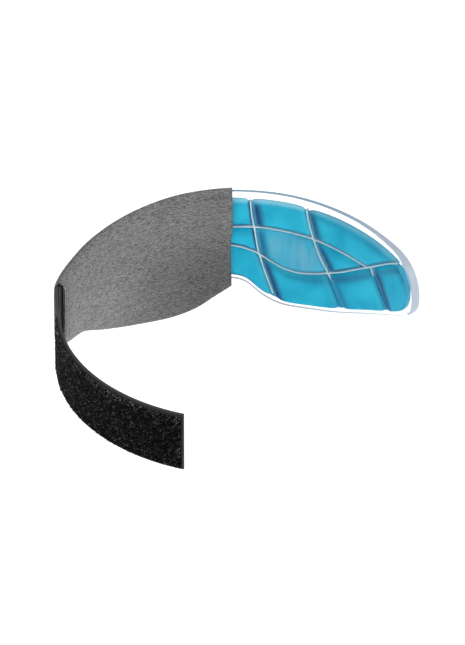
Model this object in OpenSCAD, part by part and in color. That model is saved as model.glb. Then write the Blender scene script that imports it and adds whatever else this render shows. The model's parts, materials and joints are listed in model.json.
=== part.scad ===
// Cooling gel eye mask with half of its fabric sleeve and one hook-and-loop strap.
// The mask is laid out flat in (s, z), s along its length and z up, then wrapped
// round a vertical cylinder. n is the distance outwards from the face side.

/* [Mask] */
// Radius of the wrapped mask, measured at its face side
curve_radius = 114; // [100:1:140]
// Thickness of the clear gel pack
pack_thickness = 6; // [5:0.5:7]
// Thickness of each clear film
film = 0.4; // [0.3:0.05:0.5]
// Width of the weld between two gel cells
weld_width = 2.2; // [2:0.1:2.6]
// Width of the clear rim round the gel cells
rim_width = 2.4; // [2.1:0.1:2.6]

/* [Sleeve] */
// Thickness of the knitted sleeve fabric
fabric = 1.2; // [1:0.1:1.5]
// Free gap between the pack and the sleeve
sleeve_gap = 0.4; // [0.3:0.1:0.6]
// Distance from the middle of the mask to the strap seam
seam_s = 121; // [121:1:123]

/* [Strap] */
// Width of the strap
strap_width = 38; // [36:1:38]
// Thickness of the woven base of the strap
web_thickness = 1.4; // [1.2:0.1:1.6]
// Thickness of the loop tape on the strap
tape_thickness = 1.4; // [1:0.1:1.8]
// Where the loop tape starts, measured along the strap from its seam
tape_start = 28; // [20:1:34]
// Height of the strap's centre line
strap_z = -12; // [-12.5:0.5:-11.5]

/* [Hidden] */
middle = pack_thickness / 2;
half_weld = weld_width / 2;
clearance = 0.4;           // between a gel cell and the ribs beside it
fold_gap = 1.9;           // clear of the fold line, so that the thick parts fold without touching
film_gap = 0.15;          // between a film and what it covers
rings = 3;                // rings of faces on a gel cell
spokes = 20;              // points round a gel cell
corner_power = 6;         // squareness of a gel cell's outline
crown_power = 3;          // flatness of a gel cell's crown

// Outlines of the right half, from the middle to the tip, as [s, z].
pack_top = spline([[0, 25.6], [35, 23.6], [70, 18.6], [92, 13.6], [104, 10.1], [112, 5.3], [117, -2], [119, -10]]);
pack_low = spline([[0, -32], [8, -35], [17, -43.5], [27, -49], [40, -50], [62, -47.5], [88, -38.5],
                   [106, -30.6], [114, -26.2], [118, -20], [119, -15]]);
gel_top = spline([[0, 21.4], [27, 19.8], [43, 18.1], [62, 15.2], [79, 11.6], [90, 8.8], [98, 6.3], [104, 4],
                  [106, 3.2]]);
gel_low = spline([[0, -28.9], [8, -31.2], [17, -39.6], [27, -45.9], [40, -47.4], [62, -44.4], [88, -35.4],
                  [101, -29.4], [108.5, -23.5], [112.5, -17], [113.5, -12]]);
sleeve_top = spline([[0, 28], [30, 27], [60, 23.5], [85, 18.5], [103, 13], [112, 10.2], [121, 7.3]]);
sleeve_low = spline([[0, -37.5], [10, -44.4], [22, -51.6], [38, -54.6], [60, -52], [80, -46], [97, -38.4],
                     [107, -37], [114, -36], [121, -34.3]]);

// Weld lines of the right half. The two long ones meet at long_weld_end, and the lower one goes on to the tip.
upper_weld = spline([[0, 2.2], [15, 2], [30, 0.6], [47, -1.8], [64, -5.8], [80.5, -10]]);
lower_weld = spline([[0, -10.5], [7, -12.4], [15, -16.2], [22, -21], [29, -25], [37, -26.7], [43, -26.3],
                     [50, -24.8], [57, -22.3], [64, -19.4], [72, -15], [81, -9.8], [90, -4.1], [98.5, 1.2],
                     [104.5, 3.2], [109, -0.3], [112, -4.8], [113.5, -9.5]]);
long_weld_end = 80.5;
rim_weld_end = 106;
outer_top_weld = concat(
    [for (p = upper_weld) if (p[0] < long_weld_end - 0.5) p],
    [for (p = lower_weld) if (p[0] > long_weld_end - 0.5 && p[0] < rim_weld_end) p]);

// The fold line is the upright weld nearest the nose. The other two upright welds lie towards the tip.
fold_top = [10, 23];
fold_low = [23.5, -45];
fold_upper = fold_s(2.1);
fold_lower = fold_s(-17.9);
second_top = 42;
second_upper = 46.5;
second_lower = 55.5;
second_low = 64;
third_upper = 83.3;
third_low = 96;
wedge_end = 76.5;

// Each kind of gel cell: lower edge, where it starts and ends, upper edge, where it starts and ends.
top_centre = [upper_weld, [-fold_upper, fold_upper], gel_top, [-fold_top[0], fold_top[0]]];
mid_centre = [lower_weld, [-fold_lower, fold_lower], upper_weld, [-fold_upper, fold_upper]];
low_centre = [gel_low, [-fold_low[0], fold_low[0]], lower_weld, [-fold_lower, fold_lower]];
top_inner = [upper_weld, [fold_upper, second_upper], gel_top, [fold_top[0], second_top]];
top_outer = [outer_top_weld, [second_upper, 102.2], gel_top, [second_top, 101.6]];
lens = [lower_weld, [fold_lower, second_lower], upper_weld, [fold_upper, second_upper]];
wedge = [lower_weld, [second_lower, wedge_end], upper_weld, [second_upper, wedge_end]];
low_inner = [gel_low, [fold_low[0], second_low], lower_weld, [fold_lower, second_lower]];
low_outer = [gel_low, [second_low, third_low], lower_weld, [second_lower, third_upper]];
tip = [gel_low, [third_low, 113.5], lower_weld, [third_upper, 113.5]];

// ---- curves ----
function blend(a, b, t) = a + (b - a) * t;
function catmull(a, b, c, d, t) =
    0.5 * (2 * b + (c - a) * t + (2 * a - 5 * b + 4 * c - d) * t * t + (3 * b - a - 3 * c + d) * t * t * t);
function spline(p, steps = 6) = let (last = len(p) - 1) concat(
    [for (i = [0 : last - 1]) for (k = [0 : steps - 1])
        catmull(p[max(i - 1, 0)], p[i], p[i + 1], p[min(i + 2, last)], k / steps)],
    [p[last]]);
function height(curve, s) = lookup(abs(s), curve);
function along(curve, ends, count, lift = 0) =
    [for (i = [0 : count]) let (s = blend(ends[0], ends[1], i / count)) [s, height(curve, s) + lift]];
function travelled(c, i) = i == 0 ? 0 : travelled(c, i - 1) + norm(c[i] - c[i - 1]);
function spaced(c, count) = let (
        d = [for (i = [0 : len(c) - 1]) travelled(c, i)],
        xs = [for (i = [0 : len(c) - 1]) [d[i], c[i][0]]],
        zs = [for (i = [0 : len(c) - 1]) [d[i], c[i][1]]],
        total = d[len(c) - 1])
    [for (i = [0 : count]) [lookup(total * i / count, xs), lookup(total * i / count, zs)]];
function flipped(c) = [for (i = [len(c) - 1 : -1 : 0]) [-c[i][0], c[i][1]]];
function backwards(c) = [for (i = [len(c) - 1 : -1 : 0]) c[i]];
function fold_s(z) = blend(fold_top[0], fold_low[0], (z - fold_top[1]) / (fold_low[1] - fold_top[1]));

// ---- wrapping and solids ----
function wrap(p, n) = let (a = p[0] / curve_radius * 180 / PI)
    [(curve_radius + n) * sin(a), (curve_radius + n) * cos(a) - curve_radius, p[1]];

// A closed solid between two grids of points. Each grid is a list of columns.
module between(inner, outer) {
    columns = len(inner);
    rows = len(inner[0]);
    size = columns * rows;
    a = function(i, j) i * rows + j;
    b = function(i, j) size + i * rows + j;
    quad = function(p, q, r, s) [[p, q, r], [p, r, s]];
    faces = concat(
        [for (i = [0 : columns - 2]) for (j = [0 : rows - 2])
            each quad(a(i, j), a(i, j + 1), a(i + 1, j + 1), a(i + 1, j))],
        [for (i = [0 : columns - 2]) for (j = [0 : rows - 2])
            each quad(b(i, j), b(i + 1, j), b(i + 1, j + 1), b(i, j + 1))],
        [for (i = [0 : columns - 2]) each quad(a(i, 0), a(i + 1, 0), b(i + 1, 0), b(i, 0))],
        [for (i = [0 : columns - 2])
            each quad(a(i, rows - 1), b(i, rows - 1), b(i + 1, rows - 1), a(i + 1, rows - 1))],
        [for (j = [0 : rows - 2]) each quad(a(0, j), b(0, j), b(0, j + 1), a(0, j + 1))],
        [for (j = [0 : rows - 2])
            each quad(a(columns - 1, j), a(columns - 1, j + 1), b(columns - 1, j + 1), b(columns - 1, j))]);
    polyhedron(points = concat([for (c = inner) each c], [for (c = outer) each c]), faces = faces);
}

// A sheet between a lower and an upper edge, from n to n + thickness.
module sheet(lower, upper, n, thickness, rows = 2) {
    grid = function(at) [for (i = [0 : len(lower) - 1])
        [for (j = [0 : rows]) wrap(blend(lower[i], upper[i], j / rows), at)]];
    between(grid(n), grid(n + thickness));
}

// A bar of the given width along a curve, from n0 to n1.
module bar(curve, width, n0, n1) {
    last = len(curve) - 1;
    side = function(i, k) let (d = curve[min(i + 1, last)] - curve[max(i - 1, 0)], u = d / norm(d))
        curve[i] + k * width / 2 * [-u[1], u[0]];
    grid = function(n) [for (i = [0 : last]) [wrap(side(i, -1), n), wrap(side(i, 1), n)]];
    between(grid(n0), grid(n1));
}

// ---- gel cells ----
function cell_edges(c) = let (
        lower_lift = c[0] == gel_low ? 0 : half_weld,
        upper_drop = c[2] == gel_top ? 0 : -half_weld,
        inset = [half_weld, -half_weld])
    [along(c[0], c[1] + inset, spokes, lower_lift), along(c[2], c[3] + inset, spokes, upper_drop)];
function cell_point(edges, u, v) = let (
        i = u * spokes,
        k = min(floor(i), spokes - 1),
        t = i - k)
    blend(blend(edges[0][k], edges[0][k + 1], t), blend(edges[1][k], edges[1][k + 1], t), v);
function rounded_square(a) = let (
        c = cos(a), s = sin(a),
        r = pow(pow(abs(c), corner_power) + pow(abs(s), corner_power), -1 / corner_power))
    [0.5 + 0.5 * r * c, 0.5 + 0.5 * r * s];

module gel(c, mirrored = false) {
    edges = cell_edges(c);
    crown = middle - film - film_gap;
    side = mirrored ? -1 : 1;
    ring = function(r, way) let (
            q = r / rings,
            lift = crown * pow(1 - pow(q, crown_power), 0.5))
        [for (k = [0 : spokes - 1]) let (
                w = rounded_square(side * 360 * k / spokes),
                p = cell_point(edges, 0.5 + (w[0] - 0.5) * q, 0.5 + (w[1] - 0.5) * q))
            wrap([side * p[0], p[1]], middle + way * lift)];
    hub = cell_point(edges, 0.5, 0.5);
    points = concat(
        [wrap([side * hub[0], hub[1]], middle - crown)],
        [for (r = [1 : rings - 1]) each ring(r, -1)],
        ring(rings, 0),
        [for (r = [rings - 1 : -1 : 1]) each ring(r, 1)],
        [wrap([side * hub[0], hub[1]], middle + crown)]);
    last = len(points) - 1;
    at = function(r, k) 1 + r * spokes + k % spokes;
    faces = concat(
        [for (k = [0 : spokes - 1]) [0, at(0, k + 1), at(0, k)]],
        [for (r = [0 : 2 * rings - 3]) for (k = [0 : spokes - 1])
            each [[at(r, k), at(r, k + 1), at(r + 1, k + 1)], [at(r, k), at(r + 1, k + 1), at(r + 1, k)]]],
        [for (k = [0 : spokes - 1]) [last, at(2 * rings - 2, k), at(2 * rings - 2, k + 1)]]);
    color("#25b3d3") polyhedron(points = points, faces = faces);
}

// ---- clear frame: the rim and the welds between the cells ----
frame_n = [film + film_gap, pack_thickness - film - film_gap];
rim_gap = 3.5;            // from the fold line to the cut ends of the rim
rim_edge = spaced(concat(pack_top, backwards(pack_low)), 90);
function left_of_fold(p) = p[0] > 0 && p[0] < fold_s(p[1]) - rim_gap;
function right_of_fold(p) = p[0] > fold_s(p[1]) + rim_gap;
wing_rim = [for (p = rim_edge) if (right_of_fold(p)) p];
mask_rim = concat(
    [for (p = rim_edge) if (left_of_fold(p) && p[1] < 0) p],
    backwards([for (p = rim_edge) [-p[0], p[1]]]),
    [for (p = rim_edge) if (left_of_fold(p) && p[1] > 0) p]);
second_weld = [[second_top, 20.6], [second_upper, -1.7], [second_lower, -22.9], [second_low, -46]];
third_weld = [[third_upper, -8.4], [third_low + 1.1, -34]];

module rim(path) {
    last = len(path) - 1;
    inwards = function(i) let (d = path[min(i + 1, last)] - path[max(i - 1, 0)], u = d / norm(d)) [u[1], -u[0]];
    grid = function(n) [for (i = [0 : last]) [wrap(path[i] + rim_width * inwards(i), n), wrap(path[i], n)]];
    between(grid(frame_n[0]), grid(frame_n[1]));
}

module rib(curve) {
    bar(curve, weld_width - 2 * clearance, frame_n[0], frame_n[1]);
}

module clear_frame_wing() color("#dfeaf2", 0.4) {
    rim(wing_rim);
    rib(along(upper_weld, [fold_upper + fold_gap, long_weld_end], 10));
    rib(along(lower_weld, [fold_lower + fold_gap, rim_weld_end], 22));
    rib(spaced(second_weld, 9));
    rib(spaced(third_weld, 4));
}

module clear_frame() color("#dfeaf2", 0.4) {
    rim(mask_rim);
    rib(along(upper_weld, [-long_weld_end, fold_upper - fold_gap], 15));
    rib(along(lower_weld, [-rim_weld_end, fold_lower - fold_gap], 36));
    rib(flipped(spaced([blend(fold_top, fold_low, -0.03), blend(fold_top, fold_low, 1.04)], 4)));
    rib(flipped(spaced(second_weld, 9)));
    rib(flipped(spaced(third_weld, 4)));
}

// The thin strip of weld that bends when the mask folds at the nose.
module fold_weld() color("#eef4f8", 0.6) {
    bar([fold_low, blend(fold_low, fold_top, 0.5), fold_top], weld_width - 2 * clearance,
        middle - film / 2, middle + film / 2);
}

// ---- films ----
fold_edge_top = fold_s(26.2);
fold_edge_low = fold_s(-47.3);
function until(curve, s) = concat([for (p = curve) if (p[0] > 0 && p[0] < s) p], [[s, height(curve, s)]]);
function beyond(curve, s) = concat([[s, height(curve, s)]], [for (p = curve) if (p[0] > s) p]);
mask_low = concat(flipped(pack_low), until(pack_low, fold_edge_low - fold_gap));
mask_top = concat(flipped(pack_top), until(pack_top, fold_edge_top - fold_gap));
wing_low = beyond(pack_low, fold_edge_low + fold_gap);
wing_top = beyond(pack_top, fold_edge_top + fold_gap);
front_n = pack_thickness - film;

module film_sheet(low, top, columns, n) color("#e6f0f6", 0.35) {
    sheet(spaced(low, columns), spaced(top, columns), n, film);
}
module face_film() { film_sheet(mask_low, mask_top, 40, 0); }
module front_film() { film_sheet(mask_low, mask_top, 40, front_n); }
module face_film_wing() { film_sheet(wing_low, wing_top, 26, 0); }
module front_film_wing() { film_sheet(wing_low, wing_top, 26, front_n); }

// ---- sleeve: two knitted panels and the seams that join them, open at the nose ----
sleeve_n = [-sleeve_gap - fabric, pack_thickness + sleeve_gap];
sleeve_ends = [-seam_s, 0];
lining_n = [sleeve_n[0] + fabric + film_gap, sleeve_n[1] - film_gap];
seam_band = 0.8;          // width of the folded seam allowance inside the sleeve
seam_inset = 0.6;         // from the edge of the panels to the middle of the seam

module sleeve_panel(n) color("#8a8a8c") {
    sheet(along(sleeve_low, sleeve_ends, 32), along(sleeve_top, sleeve_ends, 32), n, fabric, 3);
}
module sleeve_face_panel() { sleeve_panel(sleeve_n[0]); }
module sleeve_front_panel() { sleeve_panel(sleeve_n[1]); }

module edge_seam(curve, inset) color("#77777a") {
    bar(along(curve, [2 - seam_s, -0.2], 32, inset), seam_band, lining_n[0], lining_n[1]);
}
module sleeve_top_seam() { edge_seam(sleeve_top, -seam_inset); }
module sleeve_low_seam() { edge_seam(sleeve_low, seam_inset); }

// ---- strap ----
strap_turn = 24.7;         // turn of the strap at its seam, in degrees
strap_bends = [[272, 39], [105.5, 120]];  // radius and length of each bend
strap_length = 155;
strap_start = 1;
bend_at = 63;             // where the strap's flex line is
bend_gap = 1;             // clear of the flex line
tape_margin = 1.2;        // woven edge that the loop tape leaves bare
tape_gap = 0.1;
strap_low = strap_z - strap_width / 2;
strap_high = strap_z + strap_width / 2;
seam_angle = -(seam_s + 1) / curve_radius * 180 / PI;
seam_radius = curve_radius + middle;
strap_hinge = [seam_radius * sin(seam_angle), seam_radius * cos(seam_angle) - curve_radius];
strap_heading = 180 - seam_angle + strap_turn;

// Position and heading of the strap's middle plane at a distance from its hinge.
function strap_state(l, k = 0, at = strap_hinge, turn = strap_heading) = let (
        r = strap_bends[k][0],
        run = min(l, strap_bends[k][1]),
        next = turn + run / r * 180 / PI,
        moved = at + r * [sin(next) - sin(turn), cos(turn) - cos(next)])
    l <= strap_bends[k][1] || k == len(strap_bends) - 1
        ? [moved[0], moved[1], next]
        : strap_state(l - run, k + 1, moved, next);
function strap_point(l, n, z) = let (p = strap_state(l))
    [p[0] + n * sin(p[2]), p[1] - n * cos(p[2]), z];

module strap_strip(l0, l1, n, thickness, z0, z1, count) {
    grid = function(at) [for (i = [count : -1 : 0]) let (l = blend(l0, l1, i / count))
        [strap_point(l, at, z0), strap_point(l, at, z1)]];
    between(grid(n), grid(n + thickness));
}

web_n = -web_thickness / 2;
tape_n = web_thickness / 2 + tape_gap;
module web(l0, l1) color("#3c3c3e") {
    strap_strip(l0, l1, web_n, web_thickness, strap_low, strap_high, 20);
}
module tape(l0, l1) color("#141414") {
    strap_strip(l0, l1, tape_n, tape_thickness, strap_low + tape_margin, strap_high - tape_margin, 20);
}
module strap_web_root() { web(strap_start, bend_at - bend_gap); }
module strap_web_end() { web(bend_at + bend_gap, strap_length); }
module loop_tape_root() { tape(tape_start, bend_at - bend_gap); }
module loop_tape_end() { tape(bend_at + bend_gap, strap_length - 1); }

stitch_length = 2.6;
stitch_pitch = 5;
stitch_width = 0.5;
stitch_height = 0.3;
stitch_gap = 0.05;
stitch_edge = 1.4;        // from the edge of the tape to its row of stitches
module tape_stitches(l0, l1) color("#2a2a2a") {
    for (z = [strap_low + tape_margin + stitch_edge, strap_high - tape_margin - stitch_edge])
        for (l = [l0 : stitch_pitch : l1 - stitch_length])
            strap_strip(l, l + stitch_length, tape_n + tape_thickness + stitch_gap, stitch_height,
                z - stitch_width / 2, z + stitch_width / 2, 1);
}
module tape_stitches_root() { tape_stitches(tape_start + 1, bend_at - bend_gap); }
module tape_stitches_end() { tape_stitches(bend_at + bend_gap + 1, strap_length - 1); }

// The end of the strap, folded and sewn in between the sleeve panels, closes the sleeve.
anchor_s = [0.1 - seam_s, 1.5 - seam_s];
anchor_trim = 0.4;        // clear of the panels' edges
module strap_anchor() color("#3c3c3e") {
    sheet([for (s = anchor_s) [s, strap_low + anchor_trim]], [for (s = anchor_s) [s, strap_high - anchor_trim]],
        lining_n[0], lining_n[1] - lining_n[0]);
}
seam_rows = [1.4 - seam_s, 4 - seam_s];
module strap_seam_stitches() color("#5f5f62") {
    for (s = seam_rows)
        for (z = [strap_low + 1.5 : stitch_pitch : strap_high - stitch_length - 1])
            for (n = [sleeve_n[0] - stitch_height - stitch_gap, sleeve_n[1] + fabric + stitch_gap])
                bar([[s, z], [s, z + stitch_length]], stitch_width, n, n + stitch_height);
}

// ---- what is drawn ----
gel(top_centre);  // gel_top_centre
gel(mid_centre);  // gel_mid_centre
gel(low_centre);  // gel_low_centre
gel(top_inner, mirrored = true);  // gel_top_inner_left
gel(top_outer, mirrored = true);  // gel_top_outer_left
gel(lens, mirrored = true);  // gel_lens_left
gel(wedge, mirrored = true);  // gel_wedge_left
gel(low_inner, mirrored = true);  // gel_low_inner_left
gel(low_outer, mirrored = true);  // gel_low_outer_left
gel(tip, mirrored = true);  // gel_tip_left
gel(top_inner);  // gel_top_inner_right
gel(top_outer);  // gel_top_outer_right
gel(lens);  // gel_lens_right
gel(wedge);  // gel_wedge_right
gel(low_inner);  // gel_low_inner_right
gel(low_outer);  // gel_low_outer_right
gel(tip);  // gel_tip_right
clear_frame();
face_film();
front_film();
fold_weld();
clear_frame_wing();
face_film_wing();
front_film_wing();
sleeve_face_panel();
sleeve_front_panel();
sleeve_top_seam();
sleeve_low_seam();
strap_anchor();
strap_seam_stitches();
strap_web_root();
loop_tape_root();
tape_stitches_root();
strap_web_end();
loop_tape_end();
tape_stitches_end();
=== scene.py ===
"""Gel eye mask: clear pack of blue gel cells, half of its knitted sleeve, and a hook-and-loop strap.

Flat coordinates are millimetres: s along the mask, z up, n outwards from the face side.
They wrap round a vertical cylinder of radius RADIUS, as in the CAD model. Along the strap, l is the
distance from its hinge.
"""
import json
import math

import bpy
import numpy as np
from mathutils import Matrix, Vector


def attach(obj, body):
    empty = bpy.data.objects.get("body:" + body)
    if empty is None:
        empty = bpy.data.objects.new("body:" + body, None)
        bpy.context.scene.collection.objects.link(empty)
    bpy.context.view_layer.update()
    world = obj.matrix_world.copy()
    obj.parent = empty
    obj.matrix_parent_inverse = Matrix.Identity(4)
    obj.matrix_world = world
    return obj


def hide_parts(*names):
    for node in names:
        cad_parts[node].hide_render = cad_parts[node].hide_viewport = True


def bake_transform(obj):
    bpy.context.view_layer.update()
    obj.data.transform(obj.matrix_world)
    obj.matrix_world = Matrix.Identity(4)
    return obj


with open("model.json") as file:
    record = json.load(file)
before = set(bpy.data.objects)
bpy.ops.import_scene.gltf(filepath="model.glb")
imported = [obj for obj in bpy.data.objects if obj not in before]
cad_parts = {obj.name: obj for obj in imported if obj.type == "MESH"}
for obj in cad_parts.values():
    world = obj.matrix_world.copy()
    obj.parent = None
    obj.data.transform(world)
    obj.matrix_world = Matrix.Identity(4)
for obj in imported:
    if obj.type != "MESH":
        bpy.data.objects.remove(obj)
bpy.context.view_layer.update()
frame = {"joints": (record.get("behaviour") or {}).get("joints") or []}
rng = np.random.default_rng(7)

RADIUS = 114.0
MIDDLE = 3.0  # the pack's middle surface, half of its thickness out from the face side
HALF_WELD = 0.65
TIP_S = 113.5  # where the gel ends
OUTER_END = 105  # where the last of the upper cells ends


# ---- curves ----
def spline(points, steps=12):
    """A Catmull-Rom curve through the points."""
    p = [np.array(q, float) for q in points]
    out = []
    for i in range(len(p) - 1):
        a, b, c, d = p[max(i - 1, 0)], p[i], p[i + 1], p[min(i + 2, len(p) - 1)]
        for k in range(steps):
            t = k / steps
            square = (2 * a - 5 * b + 4 * c - d) * t**2
            cube = (3 * b - a - 3 * c + d) * t**3
            out.append(0.5 * (2 * b + (c - a) * t + square + cube))
    out.append(p[-1])
    return np.array(out)


# Each outline runs from the middle of the nose to the tip, and the left half mirrors it.
PACK_TOP = spline([(0, 25.6), (35, 23.6), (70, 18.6), (92, 13.6), (104, 10.1), (112, 5.3), (117, -2),
                   (119, -10)])
PACK_LOW = spline([(0, -32), (8, -35), (17, -43.5), (27, -49), (40, -50), (62, -47.5), (88, -38.5),
                   (106, -30.6), (114, -26.2), (118, -20), (119, -15)])
GEL_TOP = spline([(0, 21.4), (27, 19.8), (43, 18.1), (62, 15.2), (79, 11.6), (90, 8.8), (98, 6.3), (104, 4),
                  (106, 3.2)])
GEL_LOW = spline([(0, -30.7), (8, -33.3), (17, -42.0), (27, -47.7), (40, -48.6), (62, -45.8), (88, -36.7),
                  (101, -31), (108.5, -25.6), (112.5, -18), (TIP_S, -12)])
SLEEVE_TOP = spline([(0, 28), (30, 27), (60, 23.5), (85, 18.5), (103, 13), (112, 10.2), (121, 7.3)])
SLEEVE_LOW = spline([(0, -37.5), (10, -44.4), (22, -51.6), (38, -54.6), (60, -52), (80, -46), (97, -38.4),
                     (107, -37), (114, -36), (121, -34.3)])
# The two long welds and, on each side, the three short ones that cross them.
UPPER_WELD = spline([(0, 2.2), (15, 2), (30, 0.6), (47, -1.8), (64, -5.8), (80.5, -10)])
LOWER_WELD = spline([(0, -10.5), (7, -12.4), (15, -16.2), (22, -21), (29, -25), (37, -26.7), (43, -26.3),
                     (50, -24.8), (57, -22.3), (64, -19.4), (72, -15), (81, -9.8), (90, -4.1), (98.5, 1.2),
                     (104.5, 3.2), (109, -0.3), (112, -4.8), (TIP_S, -9.5)])
OUTER_WELD = np.array([p for p in UPPER_WELD if p[0] < 80] + [p for p in LOWER_WELD if 80 < p[0] < 106])
FIRST_WELD = spline([(10.3, 20.3), (11.2, 10), (12.5, 2.1), (14, -9), (15.3, -16.3), (18.8, -29),
                     (23.2, -43.0)])
SECOND_WELD = spline([(42.4, 17.1), (43.8, 9), (46.5, -1.7), (50.5, -13), (55.5, -22.8), (60, -33),
                      (63.8, -44.2)])
THIRD_WELD = spline([(83.3, -8.6), (85.5, -15), (89.8, -24), (95.6, -32.2)])


def height(curve, s):
    """The curve's z at a distance along the mask, on either side of the nose."""
    return np.interp(np.abs(s), curve[:, 0], curve[:, 1])


def wrap(s, z, n):
    """From flat millimetres to metres in the mask's curved shape."""
    a = np.asarray(s, float) / RADIUS
    r = RADIUS + np.asarray(n, float)
    z = np.broadcast_to(np.asarray(z, float), np.broadcast(a, r, z).shape)
    return np.stack([r * np.sin(a) + 0 * z, r * np.cos(a) - RADIUS + 0 * z, z], -1) / 1000


def smooth(x):
    """An eased step from 0 to 1."""
    x = np.clip(x, 0, 1)
    return x * x * (3 - 2 * x)


def resample(points, step):
    """The same line with points evenly spaced about a step apart."""
    points = np.asarray(points, float)
    d = np.concatenate([[0], np.cumsum(np.linalg.norm(np.diff(points, axis=0), axis=1))])
    t = np.linspace(0, d[-1], max(2, round(d[-1] / step) + 1))
    return np.stack([np.interp(t, d, points[:, k]) for k in range(points.shape[1])], -1)


# ---- meshes ----
def make(name, points, faces, uv=None, **values):
    """A smooth-shaded object. Each extra value becomes a point attribute for its material."""
    mesh = bpy.data.meshes.new(name)
    points = np.asarray(points, float).reshape(-1, 3)
    mesh.from_pydata([tuple(p) for p in points], [], [tuple(f) for f in faces])
    mesh.validate()
    mesh.polygons.foreach_set("use_smooth", [True] * len(mesh.polygons))
    for key, value in values.items():
        values_of = mesh.attributes.new(key, "FLOAT", "POINT").data
        values_of.foreach_set("value", np.asarray(value, np.float32).ravel())
    if uv is not None:
        uv = np.asarray(uv, np.float32).reshape(-1, 2)
        index = np.zeros(len(mesh.loops), np.int32)
        mesh.loops.foreach_get("vertex_index", index)
        mesh.uv_layers.new(name="UVMap").data.foreach_set("uv", uv[index].ravel())
    obj = bpy.data.objects.new(name, mesh)
    bpy.context.scene.collection.objects.link(obj)
    return obj


def grid_faces(rows, columns, start=0, close_rows=False, close_columns=False, flip=False):
    """Quads over a grid of points numbered row by row from start."""
    faces = []
    for i in range(rows if close_rows else rows - 1):
        for j in range(columns if close_columns else columns - 1):
            a, b = start + i * columns + j, start + i * columns + (j + 1) % columns
            d = start + (i + 1) % rows * columns + j
            c = start + (i + 1) % rows * columns + (j + 1) % columns
            faces.append((a, d, c, b) if flip else (a, b, c, d))
    return faces


def tube(path, normals, sides, profile, closed=False):
    """Sweeps a closed profile of (across, along the normal) pairs, one set for each point of the path."""
    path, normals = np.asarray(path), np.asarray(normals)
    ahead = np.roll(path, -1, 0) - np.roll(path, 1, 0) if closed else np.gradient(path, axis=0)
    across = np.cross(ahead, normals)
    across /= np.linalg.norm(across, axis=1)[:, None]
    profile = np.broadcast_to(profile, (len(path), sides, 2))
    points = path[:, None] + across[:, None] * profile[..., :1] + normals[:, None] * profile[..., 1:]
    faces = grid_faces(len(path), sides, close_rows=closed, close_columns=True)
    if not closed:
        faces += [tuple(range(sides))[::-1], tuple(range((len(path) - 1) * sides, len(path) * sides))]
    return points.reshape(-1, 3), faces


def merged(parts):
    """One mesh's points and faces from several."""
    points, faces, start = [], [], 0
    for p, f in parts:
        p = np.asarray(p).reshape(-1, 3)
        points.append(p)
        faces += [tuple(i + start for i in face) for face in f]
        start += len(p)
    return np.concatenate(points), faces


def outward(s):
    """The direction out of the mask's front at a distance along it."""
    a = np.asarray(s, float) / RADIUS
    return np.stack([np.sin(a), np.cos(a), 0 * a], -1)


# ---- materials ----
def material(name, **sockets):
    mat = bpy.data.materials.new(name)
    mat.use_nodes = True
    shader = mat.node_tree.nodes["Principled BSDF"]
    for key, value in sockets.items():
        shader.inputs[key.replace("_", " ")].default_value = value
    return mat, mat.node_tree, shader


def node(tree, kind, inputs=None, **settings):
    made = tree.nodes.new(kind)
    for key, value in settings.items():
        setattr(made, key, value)
    for key, value in (inputs or {}).items():
        if isinstance(value, bpy.types.NodeSocket):
            tree.links.new(value, made.inputs[key])
        else:
            made.inputs[key].default_value = value
    return made


def uv_noise(tree, scale, detail=2.0, rough=0.5, turn=0.0):
    """Noise over the flat cloth: scale is cycles a metre along and across it."""
    uv = node(tree, "ShaderNodeTexCoord").outputs["UV"]
    placed = node(tree, "ShaderNodeMapping", {"Vector": uv, "Scale": (*scale, 1), "Rotation": (0, 0, turn)})
    return node(tree, "ShaderNodeTexNoise", {"Vector": placed.outputs[0], "Scale": 1.0, "Detail": detail,
                                             "Roughness": rough}, noise_dimensions="2D").outputs[0]


def body_noise(tree, scale, detail=2.0):
    place = node(tree, "ShaderNodeTexCoord").outputs["Object"]
    return node(tree, "ShaderNodeTexNoise", {"Vector": place, "Scale": scale, "Detail": detail}).outputs[0]


def ramp(tree, value, stops):
    made = node(tree, "ShaderNodeValToRGB", {"Fac": value})
    elements = made.color_ramp.elements
    while len(elements) < len(stops):
        elements.new(0.5)
    for element, (at, colour) in zip(elements, stops):
        element.position = at
        element.color = (*colour, 1) if len(colour) == 3 else colour
    return made.outputs[0]


def math_node(tree, operation, a, b=0.0):
    return node(tree, "ShaderNodeMath", {0: a, 1: b}, operation=operation).outputs[0]


def mix(tree, factor, a, b, blend="MIX"):
    return node(tree, "ShaderNodeMix", {0: factor, 6: a, 7: b}, data_type="RGBA", blend_type=blend).outputs[2]


def bump(tree, shader, heights, strength, distance):
    made = node(tree, "ShaderNodeBump", {"Height": heights, "Strength": strength, "Distance": distance})
    tree.links.new(made.outputs[0], shader.inputs["Normal"])


def attribute(tree, name):
    return node(tree, "ShaderNodeAttribute", attribute_name=name).outputs["Fac"]


def grey(v):
    return (v, v, v)


def gel_material():
    mat, tree, shader = material("gel", Roughness=0.35, Specular_IOR_Level=0.06, Coat_Weight=0.05,
                                 Coat_Roughness=0.08)
    clouds = body_noise(tree, 60, 2)
    body = ramp(tree, clouds, [(0.35, (0.008, 0.385, 0.600)), (0.65, (0.022, 0.520, 0.730))])
    # painted reflection: milky streaks of a light's reflection, over the lens cell only
    streaks = ramp(tree, uv_noise(tree, (260, 22), 2.0), [(0.35, grey(0.45)), (0.65, grey(1.0))])
    painted_reflection = math_node(tree, "MULTIPLY", attribute(tree, "painted_reflection"), streaks)
    body = mix(tree, painted_reflection, body, (0.17, 0.47, 0.63, 1))
    # painted shade: navy along the cells' edges
    painted_shade = mix(tree, attribute(tree, "painted_shade"), body, (0.010, 0.058, 0.190, 1))
    # painted highlight: pale cyan along the cells' tops and side edges
    pale = mix(tree, attribute(tree, "pale"), painted_shade, (0.26, 0.66, 0.80, 1))
    tree.links.new(pale, shader.inputs["Base Color"])
    bump(tree, shader, body_noise(tree, 160, 1), 0.12, 0.0006)
    return mat


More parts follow.
